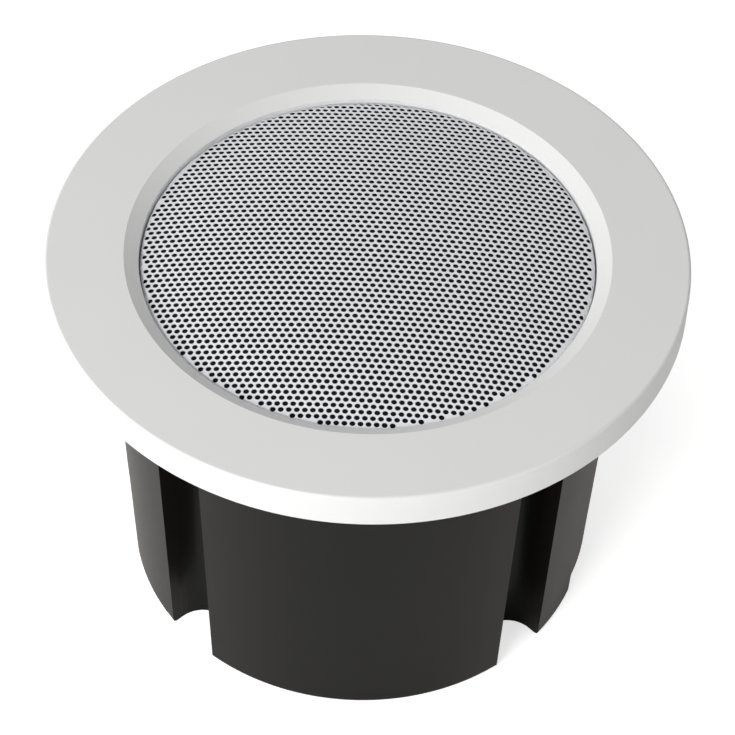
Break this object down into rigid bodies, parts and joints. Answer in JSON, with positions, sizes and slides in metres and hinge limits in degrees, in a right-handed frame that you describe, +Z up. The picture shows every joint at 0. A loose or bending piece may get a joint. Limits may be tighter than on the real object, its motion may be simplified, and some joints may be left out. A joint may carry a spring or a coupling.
{
  "type": "ceiling loudspeaker",
  "caption": "Round flush-mount ceiling loudspeaker with white flange, domed perforated grille and black channelled back can.",
  "frame": {"origin": "centre of the can's flat bottom", "axes": "+Z up from the can's bottom towards the grille, -Y towards the viewer of the picture, +X to the viewer's right"},
  "size_m": [0.21, 0.21, 0.1425],
  "materials": {
    "black_abs": "moulded ABS, fine spark texture",
    "black_foam": "closed-cell foam, matt",
    "black_nylon": "glass-filled nylon",
    "black_paper": "pressed paper pulp, matt",
    "black_rubber": "moulded rubber",
    "black_steel": "black e-coated steel",
    "brass": "turned brass",
    "brown_cloth": "resin-impregnated woven cloth",
    "brown_former": "polyimide film",
    "copper": "enamelled copper wire",
    "ferrite": "sintered ferrite, matt",
    "phenolic": "phenolic board",
    "silicon_steel": "stacked electrical steel",
    "white_abs": "moulded ABS, satin",
    "white_powder_coat": "powder-coated perforated steel, satin",
    "yellow_tape": "polyester tape",
    "zinc_steel": "zinc-plated steel"
  },
  "bodies": {
    "housing": {"bezel": "white_abs", "grille": "white_powder_coat", "baffle": "black_abs", "can_seal": "black_foam", "back_can": "black_abs", "can_screws": "black_steel", "bezel_screws": "zinc_steel", "driver_frame": "black_steel", "driver_gasket": "black_foam", "driver_screws": "black_steel", "surround": "black_rubber", "surround_ring": "black_paper", "spider": "brown_cloth", "top_plate": "zinc_steel", "magnet": "ferrite", "yoke": "zinc_steel", "driver_terminals": "phenolic", "transformer_core": "silicon_steel", "transformer_coil": "yellow_tape", "transformer_strap": "zinc_steel", "transformer_screws": "zinc_steel", "terminal_block": "black_nylon", "terminal_screws": "zinc_steel", "terminal_cover": "black_steel", "cover_screws": "black_steel", "cable_grommets": "black_rubber", "safety_loop": "zinc_steel"},
    "cone_assembly": {"cone": "black_paper", "dust_cap": "black_paper", "coil_former": "brown_former", "coil_winding": "copper"},
    "screw_1": {"clamp_screw_1": "zinc_steel"},
    "insert_1": {"clamp_insert_1": "brass"},
    "arm_1": {"clamp_arm_1": "black_nylon"},
    "screw_2": {"clamp_screw_2": "zinc_steel"},
    "insert_2": {"clamp_insert_2": "brass"},
    "arm_2": {"clamp_arm_2": "black_nylon"},
    "screw_3": {"clamp_screw_3": "zinc_steel"},
    "insert_3": {"clamp_insert_3": "brass"},
    "arm_3": {"clamp_arm_3": "black_nylon"},
    "screw_4": {"clamp_screw_4": "zinc_steel"},
    "insert_4": {"clamp_insert_4": "brass"},
    "arm_4": {"clamp_arm_4": "black_nylon"}
  },
  "joints": [
    {"name": "cone_travel", "type": "slide", "parent": "housing", "child": "cone_assembly", "axis": [0, 0, 1], "range_m": [-0.0025, 0.0025], "stiffness_N_per_m": 1500, "deforming": ["surround", "spider"]},
    {"name": "clamp_1_turn", "type": "hinge", "parent": "housing", "child": "screw_1", "pos_m": [-0.04966, -0.04966, 0.115], "axis": [0, 0, -1], "range_deg": [0, 2880]},
    {"name": "clamp_1_travel", "type": "slide", "parent": "housing", "child": "insert_1", "axis": [0, 0, 1], "range_m": [0, 0.0056]},
    {"name": "clamp_1_swing", "type": "hinge", "parent": "insert_1", "child": "arm_1", "pos_m": [-0.04966, -0.04966, 0.11], "axis": [0, 0, -1], "range_deg": [0, 90]},
    {"name": "clamp_2_turn", "type": "hinge", "parent": "housing", "child": "screw_2", "pos_m": [0.04966, -0.04966, 0.115], "axis": [0, 0, -1], "range_deg": [0, 2880]},
    {"name": "clamp_2_travel", "type": "slide", "parent": "housing", "child": "insert_2", "axis": [0, 0, 1], "range_m": [0, 0.0056]},
    {"name": "clamp_2_swing", "type": "hinge", "parent": "insert_2", "child": "arm_2", "pos_m": [0.04966, -0.04966, 0.11], "axis": [0, 0, -1], "range_deg": [0, 90]},
    {"name": "clamp_3_turn", "type": "hinge", "parent": "housing", "child": "screw_3", "pos_m": [0.04966, 0.04966, 0.115], "axis": [0, 0, -1], "range_deg": [0, 2880]},
    {"name": "clamp_3_travel", "type": "slide", "parent": "housing", "child": "insert_3", "axis": [0, 0, 1], "range_m": [0, 0.0056]},
    {"name": "clamp_3_swing", "type": "hinge", "parent": "insert_3", "child": "arm_3", "pos_m": [0.04966, 0.04966, 0.11], "axis": [0, 0, -1], "range_deg": [0, 90]},
    {"name": "clamp_4_turn", "type": "hinge", "parent": "housing", "child": "screw_4", "pos_m": [-0.04966, 0.04966, 0.115], "axis": [0, 0, -1], "range_deg": [0, 2880]},
    {"name": "clamp_4_travel", "type": "slide", "parent": "housing", "child": "insert_4", "axis": [0, 0, 1], "range_m": [0, 0.0056]},
    {"name": "clamp_4_swing", "type": "hinge", "parent": "insert_4", "child": "arm_4", "pos_m": [-0.04966, 0.04966, 0.11], "axis": [0, 0, -1], "range_deg": [0, 90]}
  ],
  "couplings": [
    {"joint": "clamp_1_turn", "follows": "clamp_1_travel", "rad_per_m": 8976},
    {"joint": "clamp_2_turn", "follows": "clamp_2_travel", "rad_per_m": 8976},
    {"joint": "clamp_3_turn", "follows": "clamp_3_travel", "rad_per_m": 8976},
    {"joint": "clamp_4_turn", "follows": "clamp_4_travel", "rad_per_m": 8976}
  ]
}
